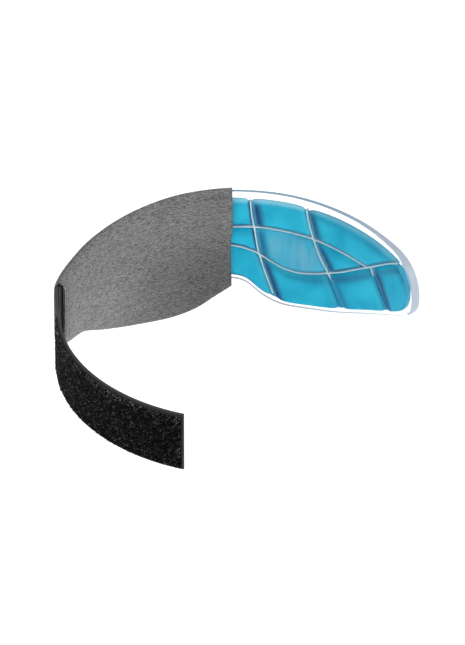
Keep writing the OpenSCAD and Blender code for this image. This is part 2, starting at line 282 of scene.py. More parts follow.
def clear_material():
    mat, tree, shader = material("clear_rim", Roughness=0.4, Specular_IOR_Level=0.25)
    facing = node(tree, "ShaderNodeLayerWeight", {"Blend": 0.4}).outputs["Facing"]
    edge = math_node(tree, "POWER", facing, 3.0)
    wall, tone = attribute(tree, "wall"), attribute(tree, "tone")
    tint = mix(tree, tone, (0.125, 0.260, 0.375, 1), (0.31, 0.37, 0.445, 1))
    clouds = body_noise(tree, 120, 2)
    tint = mix(tree, math_node(tree, "MULTIPLY", clouds, 0.2), tint, (0.60, 0.66, 0.74, 1))
    tree.links.new(mix(tree, wall, (0.62, 0.74, 0.82, 1), tint), shader.inputs["Base Color"])
    strength = math_node(tree, "ADD", math_node(tree, "MULTIPLY", edge, 0.35), 0.03)
    strength = math_node(tree, "ADD", strength, math_node(tree, "MULTIPLY", wall, 0.9))
    tree.links.new(math_node(tree, "MINIMUM", strength, 0.95), shader.inputs["Alpha"])
    return mat


def weld_material():
    mat, tree, shader = material("clear_weld", Roughness=0.3, Specular_IOR_Level=0.3, Alpha=0.92)
    pale = ramp(tree, body_noise(tree, 220, 1), [(0.3, (0.62, 0.82, 0.88)), (0.7, (0.74, 0.90, 0.94))])
    weld = mix(tree, attribute(tree, "sunk"), pale, (0.03, 0.40, 0.62, 1))
    tree.links.new(weld, shader.inputs["Base Color"])
    return mat


def fused_material():
    mat, tree, shader = material("fused_film", Roughness=0.3, Specular_IOR_Level=0.2, Alpha=0.9)
    fused = ramp(tree, body_noise(tree, 200, 1), [(0.3, (0.035, 0.30, 0.50)), (0.7, (0.07, 0.40, 0.60))])
    tree.links.new(fused, shader.inputs["Base Color"])
    return mat


def film_material():
    mat, tree, shader = material("clear_film", Roughness=0.12, Specular_IOR_Level=0.5)
    facing = node(tree, "ShaderNodeLayerWeight", {"Blend": 0.3}).outputs["Facing"]
    shown = math_node(tree, "ADD", math_node(tree, "MULTIPLY", facing, 0.05), 0.015)
    tree.links.new(shown, shader.inputs["Alpha"])
    tint = ramp(tree, body_noise(tree, 60, 2), [(0.3, (0.12, 0.62, 0.80)), (0.7, (0.20, 0.72, 0.88))])
    tree.links.new(tint, shader.inputs["Base Color"])
    return mat


def knit_material(name, dark, light):
    mat, tree, shader = material(name, Roughness=0.95, Specular_IOR_Level=0.05, Sheen_Weight=0.05)
    streaks = uv_noise(tree, (330, 2000), 3.0, 0.65, 0.12)
    slubs = uv_noise(tree, (70, 420), 2.0, 0.5, 0.08)
    grain = uv_noise(tree, (900, 1500), 2.0, 0.6, 0.12)
    fibre = math_node(tree, "ADD", math_node(tree, "MULTIPLY", streaks, 0.55),
                      math_node(tree, "ADD", math_node(tree, "MULTIPLY", grain, 0.33),
                                math_node(tree, "MULTIPLY", slubs, 0.12)))
    cloth = ramp(tree, fibre, [(0.38, grey(dark)), (0.5, grey((dark + light) / 2)), (0.61, grey(light))])
    # painted shade: the shade attribute darkens the knit's colour by up to half
    painted_knit_shade = math_node(tree, "SUBTRACT", 1.0, math_node(tree, "MULTIPLY", attribute(tree, "shade"), 0.5))
    tree.links.new(mix(tree, 1.0, cloth, painted_knit_shade, "MULTIPLY"), shader.inputs["Base Color"])
    bump(tree, shader, math_node(tree, "ADD", fibre, math_node(tree, "MULTIPLY", grain, 0.5)), 0.5, 0.0005)
    return mat


def web_material():
    mat, tree, shader = material("strap_web", Roughness=0.8, Specular_IOR_Level=0.08)
    weave = uv_noise(tree, (1500, 420), 2.0)
    cloth = ramp(tree, weave, [(0.3, (0.052, 0.052, 0.053)), (0.7, (0.080, 0.080, 0.082))])
    # painted shadow: the shade attribute turns the webbing near black in the seam's shadow
    webbing = mix(tree, attribute(tree, "shade"), cloth, (0.004, 0.004, 0.004, 1))
    tree.links.new(webbing, shader.inputs["Base Color"])
    bump(tree, shader, weave, 0.4, 0.0003)
    return mat


def loop_material(name, dark, light, low=0.45, high=0.75):
    mat, tree, shader = material(name, Roughness=0.9, Specular_IOR_Level=0.04)
    tufts = uv_noise(tree, (900, 900), 3.0, 0.7)
    tree.links.new(ramp(tree, tufts, [(low, grey(dark)), (high, grey(light))]), shader.inputs["Base Color"])
    bump(tree, shader, tufts, 0.8, 0.0008)
    return mat


def thread_material(name, colour):
    mat, tree, shader = material(name, Roughness=0.7, Specular_IOR_Level=0.1)
    twist = body_noise(tree, 1800, 1)
    thread = ramp(tree, twist, [(0.3, grey(colour * 0.8)), (0.7, grey(colour * 1.2))])
    tree.links.new(thread, shader.inputs["Base Color"])
    return mat


def pile_material():
    mat, tree, shader = material("strap_pile", Roughness=0.6, Specular_IOR_Level=0.15)
    # the brightest fibres are painted highlights on the fibre ends; the rest is the fibres' own dark tone
    stops = [(0.0, grey(0.002)), (0.45, grey(0.008)), (0.75, grey(0.07)), (1.0, grey(0.42))]
    tree.links.new(ramp(tree, attribute(tree, "shade"), stops), shader.inputs["Base Color"])
    return mat


GEL = gel_material()
CLEAR = clear_material()
WELD = weld_material()
FUSED = fused_material()
FILM = film_material()
KNIT = knit_material("sleeve_knit", 0.085, 0.31)
SEAM = knit_material("sleeve_seam", 0.09, 0.24)
WEB = web_material()
LOOP = loop_material("strap_loop", 0.001, 0.007)
SELVEDGE = loop_material("strap_selvedge", 0.020, 0.060, 0.3, 0.7)
PILE = pile_material()
SEAM_THREAD = thread_material("seam_thread", 0.19)
STRAP_THREAD = thread_material("strap_thread", 0.03)


# ---- the fold next to the nose: the side it turns towards, from its joint ----
fold = next(j for j in frame["joints"] if j["name"] == "bridge_fold")
fold_side = Vector(fold["axis"]).cross(Vector(wrap(17.0, 0, 1e6)).normalized()).normalized()
if fold_side.x < 0:
    fold_side = -fold_side


def bends(obj):
    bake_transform(obj)


# ---- gel cells ----
# Where the three short welds meet the top edge, the upper and lower long welds, and the low edge.
FIRST_TOP, FIRST_UPPER, FIRST_LOWER, FIRST_LOW = 10, 12.5, 15.3, 24
SECOND_TOP, SECOND_UPPER, SECOND_LOWER, SECOND_LOW = 42, 46.5, 55.5, 64
THIRD_LOWER, THIRD_LOW = 83.3, 96
WEDGE_END = 78


def across_nose(s):
    return (-s, s)


# Lower edge and its ends, upper edge and its ends, then how strong the painted shade is along the left, top,
# lower and right sides, and how strong the painted highlight is along the top.
CELLS = {
    "top_centre": (UPPER_WELD, across_nose(FIRST_UPPER), GEL_TOP, across_nose(FIRST_TOP),
                   (0.3, 0.2, 0.9, 0.7, 0.8)),
    "mid_centre": (LOWER_WELD, across_nose(FIRST_LOWER), UPPER_WELD, across_nose(FIRST_UPPER),
                   (0.3, 0.2, 0.9, 0.8, 0.0)),
    "low_centre": (GEL_LOW, across_nose(FIRST_LOW), LOWER_WELD, across_nose(FIRST_LOWER),
                   (0.3, 0.2, 0.7, 0.0, 0.0)),
    "top_inner": (UPPER_WELD, (FIRST_UPPER, SECOND_UPPER), GEL_TOP, (FIRST_TOP, SECOND_TOP),
                  (1.0, 0.0, 0.7, 0.0, 0.8)),
    "top_outer": (OUTER_WELD, (SECOND_UPPER, OUTER_END), GEL_TOP, (SECOND_TOP, 104.5),
                  (0.9, 0.35, 0.7, 0.2, 0.4)),
    "lens": (LOWER_WELD, (FIRST_LOWER, SECOND_LOWER), UPPER_WELD, (FIRST_UPPER, SECOND_UPPER),
             (0.75, 0.1, 0.4, 0.1, 0.1)),
    "wedge": (LOWER_WELD, (SECOND_LOWER, WEDGE_END), UPPER_WELD, (SECOND_UPPER, WEDGE_END),
              (0.95, 0.2, 0.9, 0.1, 0.0)),
    "low_inner": (GEL_LOW, (FIRST_LOW, SECOND_LOW), LOWER_WELD, (FIRST_LOWER, SECOND_LOWER),
                  (1.0, 0.5, 0.1, 0.0, 0.1)),
    "low_outer": (GEL_LOW, (SECOND_LOW, THIRD_LOW), LOWER_WELD, (SECOND_LOWER, THIRD_LOWER),
                  (0.5, 1.0, 0.0, 0.4, 0.0)),
    "tip": (GEL_LOW, (THIRD_LOW, TIP_S), LOWER_WELD, (THIRD_LOWER, TIP_S), (0.95, 0.95, 0.2, 0.2, 0.0)),
}
SPOKES = 96
# How far out each ring of points lies, from a cell's middle to its edge.
RINGS = np.array([0.12, 0.28, 0.44, 0.58, 0.7, 0.79, 0.86, 0.91, 0.945, 0.97, 0.987, 1.0])


def cell_points(cell, u, v):
    """Flat points at shares u along and v up the cell, which keeps clear of the welds round it."""
    low, low_ends, top, top_ends, _ = cell
    inset = np.array([HALF_WELD, -HALF_WELD])
    a, b = np.array(low_ends) + inset, np.array(top_ends) + inset
    s0, s1 = a[0] + (a[1] - a[0]) * u, b[0] + (b[1] - b[0]) * u
    z0 = height(low, s0) + (0 if low is GEL_LOW else HALF_WELD)
    z1 = height(top, s1) - (0 if top is GEL_TOP else HALF_WELD)
    return np.stack([s0 + (s1 - s0) * v, z0 + (z1 - z0) * v], -1)


def edge_distance(points, ring):
    """How far each point is from the nearest side of a closed ring."""
    a, b = ring, np.roll(ring, -1, 0)
    d = b - a
    t = np.clip(((points[:, None] - a) * d).sum(-1) / (d * d).sum(-1), 0, 1)
    return np.linalg.norm(points[:, None] - a - t[..., None] * d, axis=-1).min(1)


def cell_grid(cell, power=9.0):
    """Rings of points in the cell's (u, v) square, with rounded corners, from the middle out."""
    angle = 2 * np.pi * np.arange(SPOKES) / SPOKES
    c, s = np.cos(angle), np.sin(angle)
    r = (np.abs(c) ** power + np.abs(s) ** power) ** (-1 / power)
    uv = np.stack([0.5 + 0.5 * r * c, 0.5 + 0.5 * r * s], -1)
    rings = 0.5 + (uv[None] - 0.5) * RINGS[:, None, None]
    uv = np.concatenate([[[0.5, 0.5]], rings.reshape(-1, 2)])
    return uv, cell_points(cell, uv[:, 0], uv[:, 1])


FILLET, LOW_FILLET = 2.6, 1.1
CELL_SIDE, CROWN = 2.1, 0.4


def pillow(points, d, inside):
    """Half the thickness of a cell at a distance from its edge: rounded sides and a slightly crowned face.

    The cells are drawn tight against the rim at their lower edge, where the rounding is smaller.
    """
    s, z = np.asarray(points).T
    radius = LOW_FILLET + (FILLET - LOW_FILLET) * smooth((z - height(GEL_LOW, s)) / 3.5)
    rise = np.sqrt(1 - (1 - np.clip(d / radius, 0, 1)) ** 2)
    return CELL_SIDE * rise + CROWN * smooth(inside)


def gel(name, node_name, cell, mirrored, body):
    """Makes one cell and returns the flat ring of its edge."""
    uv, flat = cell_grid(cell)
    ring = flat[-SPOKES:]
    d = edge_distance(flat, ring)
    half = pillow(flat, d, d / max(d.max(), 1e-6))
    half[-SPOKES:] = 0
    side = -1 if mirrored else 1
    s, z = side * flat[:, 0], flat[:, 1]
    face = wrap(s, z, MIDDLE - half)
    front = wrap(s, z, MIDDLE + half)[:-SPOKES]
    count = len(flat)
    rings = len(RINGS)
    faces = []
    for k in range(SPOKES):
        j = (k + 1) % SPOKES
        faces.append((0, 1 + k, 1 + j))
        faces.append((count, count + 1 + j, count + 1 + k))
        for i in range(rings - 1):
            a, b = 1 + i * SPOKES, 1 + (i + 1) * SPOKES
            faces.append((a + k, b + k, b + j, a + j))
            over = b if i == rings - 2 else b + count
            faces.append((a + j + count, over + j, over + k, a + k + count))
    if mirrored:
        faces = [f[::-1] for f in faces]
    tint = {key: np.concatenate([v, v[:-SPOKES]]) for key, v in cell_tint(cell, uv).items()}
    flat_uv = np.stack([s, z], -1) / 1000
    flat_uv = np.concatenate([flat_uv, flat_uv[:-SPOKES]])
    obj = make(name, np.concatenate([face, front]), faces, uv=flat_uv, **tint)
    obj.data.materials.append(GEL)
    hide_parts(node_name)
    if body == "blend":
        bends(obj)
    else:
        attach(obj, body)
    return ring * np.array([side, 1])


def cell_tint(cell, uv):
    """Painted shade, painted highlight and painted reflection over the cell: the painted shade is darkest
    where its side walls turn away.
    """
    left, top, low, right, painted_highlight_top = cell[4]
    u, v = uv.T
    width = np.linalg.norm(cell_points(cell, 1.0, v) - cell_points(cell, 0.0, v), axis=1)
    tall = np.linalg.norm(cell_points(cell, u, 1.0) - cell_points(cell, u, 0.0), axis=1)

    top_s = np.abs(cell_points(cell, u, 1.0)[:, 0])
    slope = height(cell[2], top_s + 0.5) - height(cell[2], top_s - 0.5)
    from_top = (1 - v) * tall / np.sqrt(1 + slope**2)

    def band(distance, centre, reach):
        return np.exp(-(((distance - centre) / reach) ** 2))

    # painted shade along the left, top, lower and right edges
    painted_shade = left * band(u * width, 2.7, 2.8) * (0.45 + 0.55 * smooth((1 - v) * tall / 5))
    painted_shade = np.maximum(painted_shade, 0.8 * top * band(from_top, 3.3, 2.6) / (1 + slope**2))
    painted_shade = np.maximum(painted_shade, low * band(v * tall, 1.1, 0.8))
    painted_shade = np.maximum(painted_shade, right * band((1 - u) * width, 0.4, 0.9))
    # painted highlight along the top and beside the left and right edges
    pale = 1.1 * painted_highlight_top * band(from_top, 0.2, 1.4) + 0.35 * band(u * width, 0.4, 0.7)
    pale = pale + 0.12 * (1 - right) * band((1 - u) * width, 1.6, 1.2)
    # painted reflection over the lens cell
    painted_reflection = 0 * u
    if cell is CELLS["lens"]:
        painted_reflection = 0.8 * smooth((u * width - 3.5) / 4) * smooth(1.3 - np.hypot((u - 0.55) * 1.7, (v - 0.5) * 1.6))
    return {"painted_shade": np.clip(painted_shade, 0, 1), "pale": np.clip(pale, 0, 1), "painted_reflection": painted_reflection}


rings_all = []
for key, cell in CELLS.items():
    if key.endswith("centre"):
        rings_all.append(gel("gel_cell_" + key, "gel_" + key, cell, False, "blend"))
        continue
    near = key in ("top_inner", "lens", "low_inner")
    right_body = "blend" if near else "right_wing"
    rings_all.append(gel(f"gel_cell_{key}_right", f"gel_{key}_right", cell, False, right_body))
    rings_all.append(gel(f"gel_cell_{key}_left", f"gel_{key}_left", cell, True, "mask"))


# ---- clear rim, welds and films ----
def outline(top, low, step):
    """The closed outline between two curves and their mirror images, with evenly spaced points."""
    right = np.concatenate([top, low[::-1]])
    left = np.concatenate([low, top[::-1]]) * np.array([-1, 1])
    return resample(np.concatenate([right[:-1], left]), step)[:-1]


# The face side half of the rim's section: the share of the way out from the gel, and the height.
RIM_PROFILE = [(0, 2.6), (0, 1.4), (0.03, 0.75), (0.12, 0.3), (0.3, 0.12), (0.55, 0.02), (0.75, 0.0),
               (0.88, 0.1), (0.96, 0.4), (1.0, 0.9), (1.0, 1.2), (1.0, 1.6), (1.0, 2.0), (1.0, 2.35),
               (1.0, 2.7), (1.0, 3.0)]


def evened(values):
    """Smooths a closed run of values or points."""
    for _ in range(6):
        values = (np.roll(values, 1, 0) + 2 * values + np.roll(values, -1, 0)) / 4
    return values


def gel_region_top(s, drop):
    """The top of the area that the cells fill. Past the last of the upper cells it is the lower weld."""
    weld = height(LOWER_WELD, s)
    return np.where(np.abs(s) < OUTER_END, np.maximum(height(GEL_TOP, s), weld - drop), weld - drop)


def rim_paint(s, z, t, n):
    """How solid the rim looks (its outer wall catches the light) and how grey its tint is."""
    upper = smooth((z + 22) / 6)
    start = np.interp(s, [0, 20, 60, 85, 105, 116], [3.2, 3.1, 2.6, 2.0, 0.8, -1.0])
    stop = np.interp(s, [0, 20, 60, 90], [5.5, 5.6, 6.0, 7.0])
    wall = upper * smooth((n - start) / 0.3) * smooth((stop - n) / 0.4)
    wall = wall + (1 - upper) * smooth((n - np.interp(s, [105, 117], [7, -0.5])) / 0.8)
    wall = wall * smooth((t - 0.9) / 0.06)
    line = np.interp(s, [0, 50, 110], [0.9, 0.75, 0.45])
    wall = np.maximum(wall, line * (1 - upper) * smooth((t - 0.9) / 0.08) * smooth((2.2 - n) / 0.4))
    tone = np.maximum(smooth((s - 35) / 75), 0.5 * (1 - upper)) * np.ones_like(wall)
    return wall, tone


def clear_rim():
    outer = evened(outline(PACK_TOP, PACK_LOW, 1.2))
    s = np.linspace(0, TIP_S, 140)
    gel_edge = outline(np.stack([s, gel_region_top(s, 1)], -1), GEL_LOW, 1.0)
    ahead = np.roll(outer, -1, 0) - np.roll(outer, 1, 0)
    ahead /= np.linalg.norm(ahead, axis=1)[:, None]
    inwards = np.stack([ahead[:, 1], -ahead[:, 0]], -1)
    width = evened(edge_distance(outer, gel_edge))
    profile = RIM_PROFILE + [(t, 2 * MIDDLE - n) for t, n in RIM_PROFILE[-2::-1]]
    t, n = np.array(profile).T
    place = outer[:, None] + inwards[:, None] * (width[:, None, None] * (1 - t[None, :, None]))
    points = wrap(place[..., 0], place[..., 1], np.broadcast_to(n, place.shape[:2]))
    wall, tone = rim_paint(np.abs(outer[:, :1]), outer[:, 1:], t, n)
    faces = grid_faces(len(outer), len(profile), close_rows=True, close_columns=True, flip=True)
    obj = make("clear_rim", points, faces, wall=wall, tone=tone)
    obj.data.materials.append(CLEAR)
    return obj


def weld_rib(curve, side=1):
    """A raised weld line, which stops just short of the gel's top edge."""
    line = resample(curve, 1.0)
    line = line[line[:, 1] < height(GEL_TOP, line[:, 0]) - 0.9] * np.array([side, 1])
    angle = 2 * np.pi * np.arange(16) / 16
    c, s = np.cos(angle), np.sin(angle)
    across = 0.52 * np.sign(c) * np.abs(c) ** 0.8
    up = 1.6 * np.sign(s) * np.abs(s) ** 0.6
    section = np.stack([across, up], -1) / 1000
    return tube(wrap(line[:, 0], line[:, 1], MIDDLE), outward(line[:, 0]), 16, section)


def both_ways(curve):
    return np.concatenate([curve[::-1] * np.array([-1, 1]), curve[1:]])


def weld_ribs():
    lower = LOWER_WELD[LOWER_WELD[:, 0] < 105.8]
    parts = [weld_rib(both_ways(UPPER_WELD)), weld_rib(both_ways(lower))]
    for side in (1, -1):
        parts += [weld_rib(curve, side) for curve in (FIRST_WELD, SECOND_WELD, THIRD_WELD)]
    points, faces = merged(parts)
    s, z = np.abs(np.arctan2(points[:, 0], points[:, 1] + RADIUS / 1000)) * RADIUS, points[:, 2] * 1000
    sunk = smooth((s - 52) / 4) * smooth((np.where(s > 82, -11, -24) - z) / 4)
    obj = make("weld_ribs", points, faces, sunk=sunk)  # sunk: where the gel shows over the weld
    obj.data.materials.append(WELD)
    return obj


def region(columns):
    """The area of the welds and films, a little inside the rim."""
    s = np.linspace(-112, 112, columns)
    return s, height(GEL_LOW, s) + 0.6, gel_region_top(s, 0) - 1.2


def weld_web():
    """The two films fused together, behind the cells and between them."""
    s, low, top = region(150)
    v = np.linspace(0, 1, 12)
    z = low[:, None] + (top - low)[:, None] * v
    grids = [wrap(s[:, None] + 0 * z, z, n) for n in (MIDDLE - 0.2, MIDDLE + 0.2)]
    parts = [(grids[0], grid_faces(len(s), len(v))), (grids[1], grid_faces(len(s), len(v), flip=True))]
    points, faces = merged(parts)
    obj = make("weld_web", points, faces)
    obj.data.materials.append(FUSED)
    return obj


# Half the distance between the films: over the welds, and at least inside a cell's edge. Then the gap over
# the gel, and the groove that follows each cell's edge.
FILM_HALF, LEAST_FILM_HALF = 2.15, 1.75
FILM_GAP = 0.14
GROOVE_DEPTH, GROOVE_REACH = 0.35, 0.45


def inside_ring(points, ring):
    """Whether each flat point lies inside a closed ring, by counting the sides that a level line crosses."""
    a, b = ring, np.roll(ring, -1, 0)
    p = points[:, None]
    spans = (a[:, 1] > p[..., 1]) != (b[:, 1] > p[..., 1])
    crossing = (b[:, 0] - a[:, 0]) * (p[..., 1] - a[:, 1]) / (b[:, 1] - a[:, 1] + 1e-12) + a[:, 0]
    return (spans & (p[..., 0] < crossing)).sum(1) % 2 == 1


def quilted_film(name, way):
    """The film of one side, drawn over the cells and down into the welds between them."""
    s, low, top = region(240)
    v = np.linspace(0, 1, 76)
    z = low[:, None] + (top - low)[:, None] * v
    flat = np.stack([s[:, None] + 0 * z, z], -1).reshape(-1, 2)
    half = np.full(len(flat), FILM_HALF)
    near = np.full(len(flat), 9.0)  # distance to the nearest cell, 0 inside one
    for ring in rings_all:
        box = (flat > ring.min(0) - 3).all(1) & (flat < ring.max(0) + 3).all(1)
        picked = np.flatnonzero(box)
        d = edge_distance(flat[picked], ring)
        inside = inside_ring(flat[picked], ring)
        over = pillow(flat[picked][inside], d[inside], d[inside] / 12) + FILM_GAP
        half[picked[inside]] = np.maximum(over, LEAST_FILM_HALF)
        near[picked] = np.minimum(near[picked], np.where(inside, 0, d))
    half -= GROOVE_DEPTH * np.exp(-((near / GROOVE_REACH) ** 2)) * (near > 0)
    half = half.reshape(z.shape)
    n = MIDDLE + way * half
    points = wrap(s[:, None] + 0 * z, z, n)
    obj = make(name, points, grid_faces(len(s), len(v), flip=way > 0))
    obj.data.materials.append(FILM)
    return obj


rim, ribs, web_sheet = clear_rim(), weld_ribs(), weld_web()
face_film, front_film = quilted_film("face_film_quilted", -1), quilted_film("front_film_quilted", 1)
for piece, slot_name in ((rim, "clear_weld"), (ribs, "clear_weld"), (web_sheet, "clear_weld"),
                         (face_film, "clear_film"), (front_film, "clear_film")):
    bends(piece)
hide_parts("clear_frame", "clear_frame_wing")
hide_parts("fold_weld")
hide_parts("face_film", "face_film_wing")
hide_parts("front_film", "front_film_wing")


# ---- sleeve ----
SEAM_S = 121.5
FACE_PANEL_S = 119.7  # the face panel stops short of the strap's root
KNIT_THICK = 1.0
SLEEVE_HALF = 4.6
EDGE_POWER = 9  # how flat the panels lie before they turn in to their seams


def sleeve_half(s, way):
    """Half the sleeve's thickness along its length: even over the pack, then pinched round the strap."""
    end, reach = (3.1, 9.0) if way < 0 else (1.75, 18.0)
    pinched = 1 - np.clip((SEAM_S - np.abs(s)) / reach, 0, 1)
    return end + (SLEEVE_HALF - end) * np.sqrt(np.clip(1 - pinched**2, 0, 1))


def sleeve_middle(v):
    """The seams lie half way through the sleeve at its top, and nearer the face side at its lower edge."""
    return MIDDLE - 2.0 * smooth((-0.6 - v) / 0.4)


def ripple(s, z):
    """Slight slack in the knit."""
    broad = 0.16 * np.sin(s / 9.3 + z / 17) * np.cos(z / 11.5 - s / 31)
    return broad + 0.10 * np.sin(s / 4.7 - z / 6.1 + 1.3) * np.cos(z / 5.3)


def sleeve_shade(s, z):
    """Painted shade on the knit: darker low down near the nose notch and in a band along its upper fold, with
    painted light that makes it lighter low down near the strap.
    """
    low = smooth((s + 90) / 85) * smooth((14 - z) / 42)
    # painted light: lighter low down near the strap
    slack = smooth((-45 - s) / 40) * smooth((-z - 2) / 20)
    fold = 0.35 * np.exp(-(((height(SLEEVE_TOP, s) - z - 3.5) / 1.6) ** 2)) * smooth((s + 70) / 50)
    return np.clip(0.2 + 0.62 * low + 0.8 * fold - 0.2 * slack, 0, 1)


def sheet_faces(rows, columns, flip):
    """Faces for two grids of points, one on each side of a cloth, and for the border between them."""
    count = rows * columns
    faces = grid_faces(rows, columns, flip=flip) + grid_faces(rows, columns, start=count, flip=not flip)
    border = [(i, 0) for i in range(rows)] + [(rows - 1, j) for j in range(1, columns)]
    border += [(i, columns - 1) for i in range(rows - 2, -1, -1)]
    border += [(0, j) for j in range(columns - 2, 0, -1)]
    border = [i * columns + j for i, j in border]
    for a, b in zip(border, border[1:] + border[:1]):
        faces.append((a, b, b + count, a + count) if flip else (b, a, a + count, b + count))
    return faces


def sleeve_panel(name, way, node_name):
    s = np.linspace(-SEAM_S if way > 0 else -FACE_PANEL_S, 0.0, 170)
    v = np.cos(np.linspace(np.pi, 0, 72))
    v = 0.55 * v + 0.45 * np.linspace(-1, 1, 72)
    centre = slice(35, 36)
    top, low = height(SLEEVE_TOP, s), height(SLEEVE_LOW, s)
    half = sleeve_half(s, way)[:, None]
    grids, uvs, shades = [], [], []
    for inset in (0.0, KNIT_THICK):
        mid, tall = (top + low) / 2, (top - low) / 2 - inset
        z = mid[:, None] + tall[:, None] * v
        bulge = np.sqrt(np.clip(1 - np.abs(v) ** EDGE_POWER, 0, 1))[None]
        reach = half + way * (MIDDLE - sleeve_middle(v))[None]
        slack = ripple(s[:, None], z) * smooth((SEAM_S + s[:, None]) / 14)
        depth = (reach - inset + slack) * bulge
        n = sleeve_middle(v)[None] + way * np.maximum(depth, 0.02)
        hem = np.interp(z, [-40, -30, -8, 5, 24], [-0.2, -0.4, -0.9, 0.3, 0.2])
        hem = hem * smooth((s[:, None] + 14) / 14)
        grids.append(wrap(s[:, None] + hem, z, n))
        steps = np.hypot(np.diff(z, axis=1, prepend=z[:, :1]), np.diff(n, axis=1, prepend=n[:, :1]))
        around = np.cumsum(steps, 1)
        flat_z = around - around[:, centre] + z[:, centre]
        uvs.append(np.stack([s[:, None] + 0 * z, flat_z], -1) / 1000)
        shades.append(sleeve_shade(s[:, None] + 0 * z, z))
    obj = make(name, np.concatenate([g.reshape(-1, 3) for g in grids]), sheet_faces(len(s), len(v), way > 0),
               uv=np.concatenate([u.reshape(-1, 2) for u in uvs]),
               shade=np.concatenate([shade.ravel() for shade in shades]))
    obj.data.materials.append(KNIT)
    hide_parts(node_name)
    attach(obj, "mask")
    return obj


def round_tube(path, normals, radius, sides=8):
    """A round tube, with its radius in metres."""
    angle = 2 * np.pi * np.arange(sides) / sides
    return tube(path, normals, sides, radius * np.stack([np.cos(angle), np.sin(angle)], -1))


def edge_seam(name, curve, lift, node_name):
    """The raised line of stitching where the two panels meet along an edge."""
    s = np.linspace(-119.5, -0.4, 220)
    z = height(curve, s) + lift
    points, faces = round_tube(wrap(s, z, sleeve_middle(-1.0 if lift > 0 else 1.0)), outward(s), 0.0005)
    obj = make(name, points, faces, uv=np.repeat(np.stack([s, z], -1) / 1000, 8, 0))
    obj.data.materials.append(SEAM)
    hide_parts(node_name)
    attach(obj, "mask")


face_panel = sleeve_panel("sleeve_face", -1, "sleeve_face_panel")
front_panel = sleeve_panel("sleeve_front", 1, "sleeve_front_panel")
edge_seam("sleeve_seam_top", SLEEVE_TOP, -0.25, "sleeve_top_seam")
edge_seam("sleeve_seam_low", SLEEVE_LOW, 0.25, "sleeve_low_seam")


# ---- strap ----
BENDS = ((272.0, 39.0), (105.5, 120.0))  # radius and length of each arc
STRAP_LENGTH = 155.0
SPLIT = 31.5  # where the near and far pieces of webbing meet, under the start of the tape
Z_LOW, Z_HIGH = -31.0, 7.0
HINGE_S = -122.0
STRAP_TILT = math.radians(24.7)
SWING_ZONE = (-1.0, 7.0)
CURL_ZONE = (34.0, 92.0)


def sleeve_end_state(s):
    """Position and heading of the pack's middle surface, looking out of the sleeve."""
    a = s / RADIUS
    return (RADIUS + MIDDLE) * math.sin(a), (RADIUS + MIDDLE) * math.cos(a) - RADIUS, math.pi - a


def strap_state(l):
    """Position and heading of the strap's middle plane at a distance from its hinge.

    The distance is negative inside the sleeve, where the strap straightens along the pack.
    """
    if l < 0:
        x, y, turn = sleeve_end_state(HINGE_S - l)
        return x, y, turn + STRAP_TILT * math.exp(l / 1.5)
    x, y, turn = sleeve_end_state(HINGE_S)
    turn += STRAP_TILT
    for k, (r, length) in enumerate(BENDS):
        run = l if k == len(BENDS) - 1 else min(l, length)
        ahead = turn + run / r
        x, y = x + r * (math.sin(ahead) - math.sin(turn)), y + r * (math.cos(turn) - math.cos(ahead))
        turn = ahead
        l -= run
        if l <= 0:
            break
    return x, y, turn


def strap_points(l, n, z):
    """Points at a distance along the strap, a height off its middle plane, and a z."""
    l, n, z = np.broadcast_arrays(np.asarray(l, float), np.asarray(n, float), np.asarray(z, float))
    stations = np.unique(l)
    states = np.array([strap_state(v) for v in stations])[np.searchsorted(stations, l)]
    x, y, h = states[..., 0], states[..., 1], states[..., 2]
    return np.stack([x + n * np.sin(h), y - n * np.cos(h), z], -1) / 1000


def strap_strip(name, l0, l1, n0, n1, z0, z1, mat, slot_name):
    """A strip of webbing with rounded edges."""
    l = np.arange(l0, l1 + 0.01, (l1 - l0) / round((l1 - l0) / 1.5))
    middle, half = (n0 + n1) / 2, (n1 - n0) / 2
    r = min(half, 0.7)
    turn = np.linspace(-np.pi / 2, np.pi / 2, 5)[1:-1]
    across = np.linspace(z0 + r, z1 - r, 14)
    loop = [(z, n1) for z in across]
    loop += [(z1 - r + r * math.cos(t), middle + half * math.sin(t)) for t in turn[::-1]]
    loop += [(z, n0) for z in across[::-1]]
    loop += [(z0 + r - r * math.cos(t), middle + half * math.sin(t)) for t in turn]
    z, n = np.array(loop).T
    points = strap_points(l[:, None], n[None], z[None])
    count = len(loop)
    faces = grid_faces(len(l), count, close_columns=True)
    faces += [tuple(range(count))[::-1], tuple(range((len(l) - 1) * count, len(l) * count))]
    uv = np.stack(np.broadcast_arrays(l[:, None], z[None]), -1) / 1000
    shade = smooth((0.6 - l[:, None]) / 1.2) * np.ones_like(z[None])  # dark in the seam's shadow
    obj = make(name, points, faces, uv=uv, shade=shade)
    obj.data.set_sharp_from_angle(angle=1.0)
    obj.data.materials.append(mat)
    return obj


